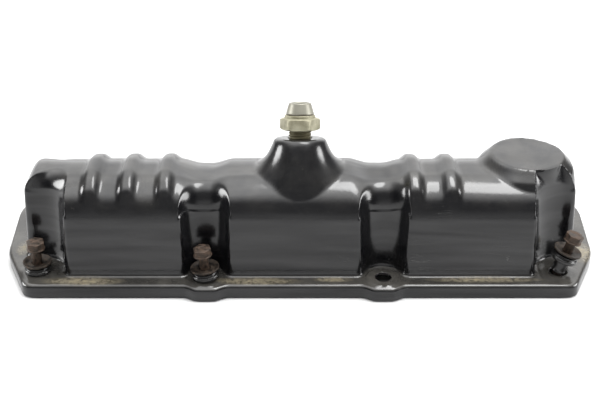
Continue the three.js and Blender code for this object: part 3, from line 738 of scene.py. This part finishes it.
def bare_steel():
    """Oily mild steel: cold rolled grey with thin brown oil stains and a drawn grain of a tenth of a
    millimetre, shown five times as coarse."""
    material, tree, shader, place = new_material("oily_mild_steel")
    drawn = node(tree, "ShaderNodeMapping", {0: place, "Scale": (2.0, 0.1, 2.0)}).outputs[0]
    grain = node(tree, "ShaderNodeTexNoise", {"Vector": drawn, "Scale": 1.0, "Detail": 4.0})
    stain = node(tree, "ShaderNodeTexNoise", {"Vector": place, "Scale": 0.09, "Detail": 6.0})
    share = node(
        tree,
        "ShaderNodeMapRange",
        {"Value": stain.outputs[0], "From Min": 0.45, "From Max": 0.65, "To Max": 0.7},
    ).outputs[0]
    color = node(
        tree, "ShaderNodeMix", {0: share, 6: linear("9b9a96"), 7: linear("5b4732")}, data_type="RGBA"
    ).outputs[2]
    tree.links.new(color, shader.inputs["Base Color"])
    shader.inputs["Metallic"].default_value = 0.9
    rough = node(
        tree, "ShaderNodeMapRange", {"Value": grain.outputs[0], "To Min": 0.3, "To Max": 0.5}
    ).outputs[0]
    tree.links.new(rough, shader.inputs["Roughness"])
    bump = node(
        tree, "ShaderNodeBump", {"Height": grain.outputs[0], "Strength": 0.2, "Distance": 0.0001}
    ).outputs[0]
    tree.links.new(bump, shader.inputs["Normal"])
    return material


def above_tower(tree, place):
    """How far a point stands along the tower's axis above its top face, in millimetres."""
    from_top = node(
        tree, "ShaderNodeVectorMath", {0: place, 1: tuple(TOWER_TOP_AT)}, operation="SUBTRACT"
    ).outputs[0]
    return node(
        tree, "ShaderNodeVectorMath", {0: from_top, 1: tuple(TOWER_AXIS)}, operation="DOT_PRODUCT"
    ).outputs["Value"]


def zinc_plate():
    """Yellow-passivated zinc plate on a turned steel union: a pale straw metal, olive where the passivation
    is thick, and dark with old oil down in the thread."""
    material, tree, shader, place = new_material("passivated_zinc_plate")
    cloud = node(
        tree, "ShaderNodeTexNoise", {"Vector": place, "Scale": 0.16, "Detail": 6.0, "Roughness": 0.6}
    )
    share = node(
        tree, "ShaderNodeMapRange", {"Value": cloud.outputs[0], "From Min": 0.35, "From Max": 0.68}
    ).outputs[0]
    plate = node(
        tree, "ShaderNodeMix", {0: share, 6: linear("96937f"), 7: linear("716d57")}, data_type="RGBA"
    ).outputs[2]
    height = above_tower(tree, place)
    low = node(
        tree,
        "ShaderNodeMapRange",
        {"Value": height, "From Min": 3.6, "From Max": 5.2, "To Min": 0.7, "To Max": 0.0},
    ).outputs[0]
    color = node(tree, "ShaderNodeMix", {0: low, 6: plate, 7: linear("575038")}, data_type="RGBA").outputs[2]
    tree.links.new(color, shader.inputs["Base Color"])
    shader.inputs["Metallic"].default_value = 0.35
    rough = node(
        tree, "ShaderNodeMapRange", {"Value": cloud.outputs[0], "To Min": 0.4, "To Max": 0.6}
    ).outputs[0]
    tree.links.new(rough, shader.inputs["Roughness"])
    bump = node(
        tree, "ShaderNodeBump", {"Height": cloud.outputs[0], "Strength": 0.15, "Distance": 0.0003}
    ).outputs[0]
    tree.links.new(bump, shader.inputs["Normal"])
    return material


def pale_brass():
    """The union's turned nose: nickelled brass with fine lathe rings, shown at half a millimetre, and a dark
    brown band painted round its base as shade, a painted shadow line under the barb, its upper edge made wavy
    by a noise."""
    material, tree, shader, place = new_material("turned_nickelled_brass")
    cloud = node(tree, "ShaderNodeTexNoise", {"Vector": place, "Scale": 0.3, "Detail": 6.0})
    height = above_tower(tree, place)
    # Painted shade: a dark brown band round the nose's base stands in for the shadow line under the barb; the
    # noise makes its upper edge wavy.
    shade_wobble = node(tree, "ShaderNodeMath", {0: cloud.outputs[0], 1: 3.0}, operation="MULTIPLY").outputs[0]
    edge = node(tree, "ShaderNodeMath", {0: height, 1: shade_wobble}, operation="SUBTRACT").outputs[0]
    stain = node(
        tree,
        "ShaderNodeMapRange",
        {"Value": edge, "From Min": 12.9, "From Max": 13.7, "To Min": 0.75, "To Max": 0.0},
    ).outputs[0]
    # 43361f is the dark brown of that painted shadow line.
    color = node(
        tree, "ShaderNodeMix", {0: stain, 6: linear("7f7d72"), 7: linear("43361f")}, data_type="RGBA"
    ).outputs[2]
    tree.links.new(color, shader.inputs["Base Color"])
    shader.inputs["Metallic"].default_value = 0.5
    shader.inputs["Roughness"].default_value = 0.42
    rings = node(tree, "ShaderNodeMath", {0: height, 1: 12.5}, operation="MULTIPLY").outputs[0]
    ripple = node(tree, "ShaderNodeMath", {0: rings}, operation="SINE").outputs[0]
    bump = node(tree, "ShaderNodeBump", {"Height": ripple, "Strength": 0.1, "Distance": 0.0001}).outputs[0]
    tree.links.new(bump, shader.inputs["Normal"])
    return material


# ---------------------------------------------------------------- fasteners, gasket and union
def stack_matrix(x, y, lean):
    """Places a fastener made along Z on the flange's top, leaning towards +X."""
    return Matrix.Translation((x, y, FLANGE_TOP)) @ Matrix.Rotation(math.radians(lean), 4, "Y")


def ridge(z, turn, pitch, depth):
    """A V thread's depth at a height and an angle: a triangle wave along the helix."""
    along = np.mod(z / pitch - turn / (2 * np.pi), 1)
    return depth * (1 - np.abs(2 * along - 1) * 2)


def bolt(name, head, place):
    """A hexagon-flange bolt: rolled thread on the lower 14 mm, plain shank, flange, and a chamfered head."""
    tip, flange_top, top = head - 25, head + 1.3, head + 5.3
    thread = np.linspace(tip + 0.9, tip + 14, 106)
    profile = [(0, tip), (2.2, tip), (2.55, tip + 0.5)]
    profile += [(2.72, z) for z in thread]
    profile += [(2.95, tip + 14.6), (2.95, head - 0.8), (3.15, head - 0.3), (3.6, head), (5.2, head)]
    profile += [(5.5, head + 0.12), (5.6, head + 0.45), (5.5, head + 0.75), (5.2, flange_top - 0.3)]
    profile += [(5.05, flange_top), (5.9, flange_top + 0.25), (5.9, top - 0.75), (5.5, top - 0.32)]
    profile += [(4.75, top - 0.06), (4.4, top), (2.6, top), (2.3, top - 0.25), (0, top - 0.3)]

    def shape(radius, z, turn):
        threaded = (z > tip + 0.85) & (z < tip + 14.05)
        radius = np.where(threaded, radius + ridge(z, turn, 1.0, 0.26), radius)
        hexed = z > flange_top + 0.1
        return np.where(hexed, np.minimum(radius, hexagon(HEX_BOLT, turn + 0.2)), radius), z

    return turned(name, profile, 48, shape, place, 30)


def cup_washer(name, base, place, warp):
    """A pressed dished washer, a little bent: its rim dips twice round by a quarter of a millimetre."""
    corners = [
        (3.4, base, 0.15),
        (5.9, base, 0.8),
        (8.55, base + 1.15, 0.3),
        (8.8, base + 1.35, 0.15),
        (8.8, base + 2.4, 0.3),
        (8.3, base + 2.35, 0.2),
        (5.9, base + 1.1, 0.9),
        (3.4, base + 1.1, 0.15),
    ]

    def shape(radius, z, turn):
        outer = smoothstep((radius - 5) / 4)
        dip = 0.12 * outer * (1 + np.sin(2 * turn + warp))
        return radius + 0.06 * outer * np.sin(3 * turn + warp), z - dip

    return turned(name, rounded_profile(corners), 72, shape, place, 40)


def grommet(name, base, place):
    """A moulded grommet: a fat rolled ring, a groove and a thin disc over it, and a neck with a lower lip."""
    low, top = base - 8.3, base + GROMMET_TOP
    corners = [
        (3.95, low, 0.2),
        (4.5, low, 0.4),
        (4.7, low + 0.9, 0.4),
        (4.4, low + 1.9, 0.6),
        (4.45, base - 0.8, 0.5),
        (5.4, base, 0.5),
        (8.0, base, 1.2),
        (8.35, base + 2.9, 1.3),
        (6.9, base + 3.3, 0.5),
        (6.9, base + 3.9, 0.3),
        (7.6, top - 0.4, 0.4),
        (7.4, top, 0.3),
        (3.95, top, 0.3),
    ]
    return turned(name, rounded_profile(corners), 72, None, place, 45)


def sleeve(name, base, place):
    """A spacer sleeve turned from tube, its ends faced and broken."""
    low, high = base - 7.5, base + GROMMET_TOP
    corners = [(3.25, low, 0.12), (3.7, low, 0.15), (3.7, high, 0.15), (3.25, high, 0.12)]
    return turned(name, rounded_profile(corners, 3), 48, None, place, 30)


def gasket(name):
    """A moulded strip along the rim: a tall section with two sealing beads below and a rounded back."""
    inset = SHEET + 1.3
    rim = plan(inset, LONG_COUNT, END_COUNT)[1]
    along = np.roll(rim, -1, axis=0) - np.roll(rim, 1, axis=0)
    along /= np.linalg.norm(along, axis=1, keepdims=True)
    inward = np.stack([-along[:, 1], along[:, 0]], axis=-1)
    outer_side = [(0.1, 1.0), (0.0, 3.5), (0.15, 6.6)]
    back = [(0.5, 7.1), (1.6, 7.2), (2.7, 7.1)]
    inner_side = [(3.05, 6.6), (3.2, 3.5), (3.1, 1.0)]
    inner_bead = [(2.9, 0.3), (2.75, 0.05), (2.4, 0.0), (2.0, 0.3), (1.6, 0.7)]
    outer_bead = [(1.2, 0.3), (0.8, 0.0), (0.45, 0.05), (0.3, 0.4)]
    across, height = np.array(outer_side + back + inner_side + inner_bead + outer_bead).T
    points = rim[None, :, :] + inward[None, :, :] * across[:, None, None]
    z = np.repeat(height[:, None], len(rim), axis=1)
    rows = np.concatenate([points, z[..., None]], axis=2)
    rows = np.concatenate([rows, rows[:1]])
    return mesh_object(name, rows[::-1], grid_faces(len(rows), rows.shape[1]), 50)


def union_body(name):
    """The union: a threaded shank, a chamfered hexagon, and a collar, bored right through."""
    bore, thread_top, hexagon_turn = 5.0, 4.7, math.radians(4.5)
    profile = [(bore, -5), (6.0, -5), (6.35, -4.6)]
    profile += [(6.72, z) for z in np.linspace(-4.4, thread_top, 84)]
    profile += [(6.6, 4.9), (8.6, 5.0), (10.6, 5.0), (11.7, 5.35), (12.7, 5.95), (12.7, 11.2), (11.8, 11.8)]
    profile += [(10.7, 12.2), (9.6, 12.2), (9.4, 12.35), (9.4, 13.75), (9.1, 14.1), (bore + 0.4, 14.1)]
    profile += [(bore, 13.8), (bore, -5)]

    def shape(radius, z, turn):
        threaded = (z > -4.45) & (z < thread_top + 0.01) & (radius > bore + 1)
        radius = np.where(threaded, radius + ridge(z, turn, 1.5, 0.38), radius)
        hexed = (z > 4.95) & (z < 12.25) & (radius > bore + 1)
        flats = np.minimum(radius, hexagon(HEX_UNION, turn + hexagon_turn, 0.5))
        return np.where(hexed, flats, radius), z

    return turned(name, profile, 96, shape, tower_place(), 30)


def union_nose(name):
    """The union's coned nose with its flared mouth."""
    base = 14.4
    corners = [
        (5.0, base, 0.2),
        (8.4, base, 0.2),
        (8.5, base + 1.0, 0.3),
        (6.95, base + 6.1, 0.5),
        (6.8, base + 6.6, 0.3),
        (6.3, base + 7.0, 0.3),
        (5.5, base + 7.0, 0.3),
        (5.0, base + 6.2, 0.3),
    ]
    return turned(name, rounded_profile(corners), 72, None, tower_place(), 35)


def finish_piece(piece, material, body, slot, *nodes):
    """Gives a piece its material and its body, and hides the CAD nodes that it stands for; slot is not used.
    """
    piece.data.materials.clear()
    piece.data.materials.append(material)
    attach(piece, body)
    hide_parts(*nodes)


# ---------------------------------------------------------------- the object
enamel, rubber = stove_enamel(), oiled_rubber()
rust = rusty_steel("rust_stained_steel", "1d1a18", "3f3832", "1e1510", "5a4535")
dark_rust = rusty_steel("dark_phosphated_steel", "131211", "2b2826", "1c1612", "433526")
steel, plated, brass, sealing = bare_steel(), zinc_plate(), pale_brass(), gasket_rubber()

finish_piece(cover_shell(), enamel, "cover", "black_paint", "cover_shell")
finish_piece(gasket("gasket_strip"), sealing, "cover", "gasket_rubber", "gasket")
finish_piece(union_body("breather_union"), plated, "union", "zinc_plate", "union_body")
finish_piece(union_nose("breather_nose"), brass, "union", "pale_brass", "union_nose")

for number, (name, x, y, lean, grommet_up, head_up) in enumerate(STACKS):
    place = stack_matrix(x, y, lean)
    headed = bolt("flange_bolt_" + name, head_up, place)
    finish_piece(headed, rust, "bolt_" + name, "rusty_steel", "bolt_" + name)
    washer = cup_washer("dished_washer_" + name, grommet_up + GROMMET_TOP + 0.3, place, 1.7 * number)
    finish_piece(washer, dark_rust, "cover", "rusty_steel", "cup_washer_" + name)
    ring = grommet("rubber_" + name, grommet_up, place)
    finish_piece(ring, rubber, "cover", "black_rubber", "grommet_" + name)
    tube = sleeve("spacer_" + name, grommet_up, place)
    finish_piece(tube, steel, "cover", "bare_steel", "sleeve_" + name)

for name in ("oil_baffle", "weld_bush"):
    carried = frame["nodes"][name]
    carried.data.materials.clear()
    carried.data.materials.append(steel)


# ---------------------------------------------------------------- floor, light and camera
CEILING = 4.2  # radiance of the studio's ceiling, where the floor's own is about 1


def floor():
    """A wide pale sheet of paper under the part."""
    mesh = bpy.data.meshes.new("floor")
    half = 6.0
    corners = [(-half, -half, 0), (half, -half, 0), (half, half, 0), (-half, half, 0)]
    mesh.from_pydata(corners, [], [(0, 1, 2, 3)])
    sheet = bpy.data.objects.new("floor", mesh)
    bpy.context.scene.collection.objects.link(sheet)
    paper, tree, shader, place = new_material("white_paper")
    mottle = node(tree, "ShaderNodeTexNoise", {"Vector": place, "Scale": 0.01, "Detail": 3.0})
    color = node(
        tree,
        "ShaderNodeMix",
        {0: mottle.outputs[0], 6: linear("b9b9b9"), 7: linear("bfbfbf")},
        data_type="RGBA",
    ).outputs[2]
    tree.links.new(color, shader.inputs["Base Color"])
    shader.inputs["Roughness"].default_value = 0.9
    mesh.materials.append(paper)


def soft_light(name, at, toward, width, height, watts):
    """An oval studio soft box that looks from one point to another, both in metres."""
    lamp = bpy.data.lights.new(name, "AREA")
    lamp.shape, lamp.size, lamp.size_y, lamp.energy = "ELLIPSE", width, height, watts
    box = bpy.data.objects.new(name, lamp)
    way = Vector(toward) - Vector(at)
    box.matrix_world = Matrix.Translation(at) @ way.to_track_quat("-Z", "Y").to_matrix().to_4x4()
    box.visible_camera = False
    bpy.context.scene.collection.objects.link(box)


def world():
    """The studio round the part, by the angle over it from the front horizon: a pale horizon in front, a dim
    room over it, a bright ceiling, and a paler wall behind; all of it dims to the sides. Each stage goes from
    one strength to another between two angles, and the light is their product. Seen directly it is white."""
    made = bpy.data.worlds.new("studio")
    made.use_nodes = True
    tree = made.node_tree
    generated = node(tree, "ShaderNodeTexCoord").outputs["Generated"]
    way = node(tree, "ShaderNodeSeparateXYZ", {0: generated}).outputs
    front = node(tree, "ShaderNodeMath", {0: way["Y"], 1: -1.0}, operation="MULTIPLY").outputs[0]
    over = node(tree, "ShaderNodeMath", {0: way["Z"], 1: front}, operation="ARCTAN2").outputs[0]
    stages = []
    for start, end, low, high in ((0, 24, 2.8, 1.0), (42, 78, 0.35, CEILING), (112, 150, 1.0, 0.5)):
        angles = {"From Min": math.radians(start), "From Max": math.radians(end)}
        limits = {"Value": over, **angles, "To Min": low, "To Max": high}
        stage = node(tree, "ShaderNodeMapRange", limits, interpolation_type="SMOOTHSTEP")
        stages.append(stage.outputs[0])
    sideways = node(tree, "ShaderNodeMath", {0: way["X"]}, operation="ABSOLUTE").outputs[0]
    limits = {"From Min": 0.3, "From Max": 0.8, "To Min": 1.0, "To Max": 0.12}
    stages.append(
        node(
            tree, "ShaderNodeMapRange", {"Value": sideways, **limits}, interpolation_type="SMOOTHSTEP"
        ).outputs[0]
    )
    light = node(tree, "ShaderNodeMath", {0: stages[0], 1: stages[1]}, operation="MULTIPLY").outputs[0]
    for stage in stages[2:]:
        light = node(tree, "ShaderNodeMath", {0: light, 1: stage}, operation="MULTIPLY").outputs[0]
    seen = node(tree, "ShaderNodeLightPath").outputs["Is Camera Ray"]
    shown = node(tree, "ShaderNodeMix", {0: seen, 2: light, 3: 1.0}).outputs[0]
    tree.links.new(shown, tree.nodes["Background"].inputs["Strength"])
    tree.nodes["Background"].inputs["Color"].default_value = linear("ffffff")
    bpy.context.scene.world = made


def camera():
    """A 64 mm view from above the front, level from side to side."""
    lens = bpy.data.cameras.new("camera")
    lens.lens, lens.sensor_width, lens.clip_start, lens.clip_end = 64.2, 36.0, 0.01, 50.0
    view = bpy.data.objects.new("camera", lens)
    view.location = (0.0, -0.591, 0.3685)
    view.rotation_euler = (math.radians(90 - 29.1), 0, 0)
    bpy.context.scene.collection.objects.link(view)
    bpy.context.scene.camera = view


floor()
world()
soft_light("overhead_box", (0.28, 0.08, 1.3), (0.05, 0, 0), 0.95, 0.55, 13)
soft_light("left_box", (-0.85, 0.02, 0.27), (0, 0.02, 0.05), 0.5, 0.36, 6)
soft_light("right_box", (0.83, -0.1, 0.27), (0, 0, 0.05), 0.5, 0.36, 6)
camera()
bpy.context.scene.view_settings.view_transform = "Standard"
